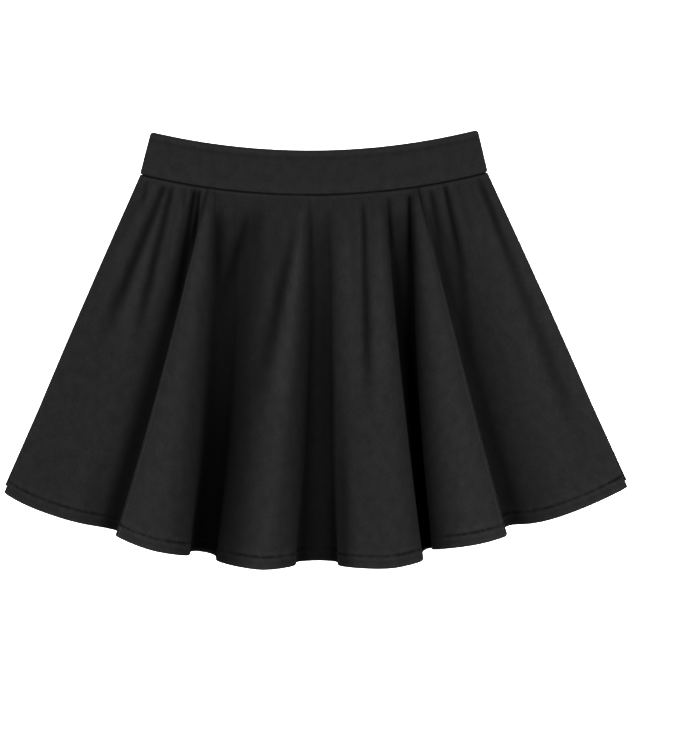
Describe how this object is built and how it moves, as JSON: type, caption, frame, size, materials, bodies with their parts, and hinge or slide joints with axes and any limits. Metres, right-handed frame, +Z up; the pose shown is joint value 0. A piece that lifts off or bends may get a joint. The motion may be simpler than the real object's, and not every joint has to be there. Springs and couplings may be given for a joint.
{
  "type": "swing skirt",
  "caption": "Short black swing skirt laid flat: a wide shaped waistband over a flared front in deep hollow folds, on a plain back panel, with a stitched hem.",
  "frame": {"origin": "on the surface that the skirt lies on, at the middle of its outline", "axes": "+X to the right as the front is seen, +Y from the hem towards the waist, +Z up from the surface"},
  "size_m": [0.6474, 0.4539, 0.0387],
  "materials": {
    "black_cotton": "matt black stretch cotton with a fine soft nap"
  },
  "bodies": {
    "root": {"waistband_front": "black_cotton", "waistband_back": "black_cotton", "front_centre": "black_cotton", "front_side_left": "black_cotton", "front_side_right": "black_cotton", "back_panel": "black_cotton"}
  },
  "joints": []
}
